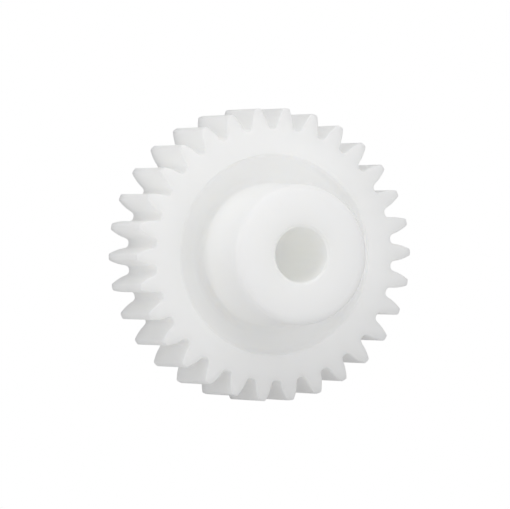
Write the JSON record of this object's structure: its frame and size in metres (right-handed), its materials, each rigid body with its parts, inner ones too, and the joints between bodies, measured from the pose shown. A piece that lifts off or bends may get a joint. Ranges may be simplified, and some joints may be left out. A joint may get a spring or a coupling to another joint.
{
  "type": "spur gear",
  "caption": "Moulded plastic spur gear with a plain bore, a recessed and dished web, and a tapered hub on one side.",
  "frame": {"origin": "centre of the bore at the back face, the face away from the hub", "axes": "+Z along the bore axis towards the hub's nose, +X through the middle of a tooth"},
  "size_m": [0.032, 0.0318, 0.017],
  "materials": {
    "acetal": "natural white moulded acetal, satin, slightly translucent"
  },
  "bodies": {
    "root": {"spur_gear": "acetal"}
  },
  "joints": []
}
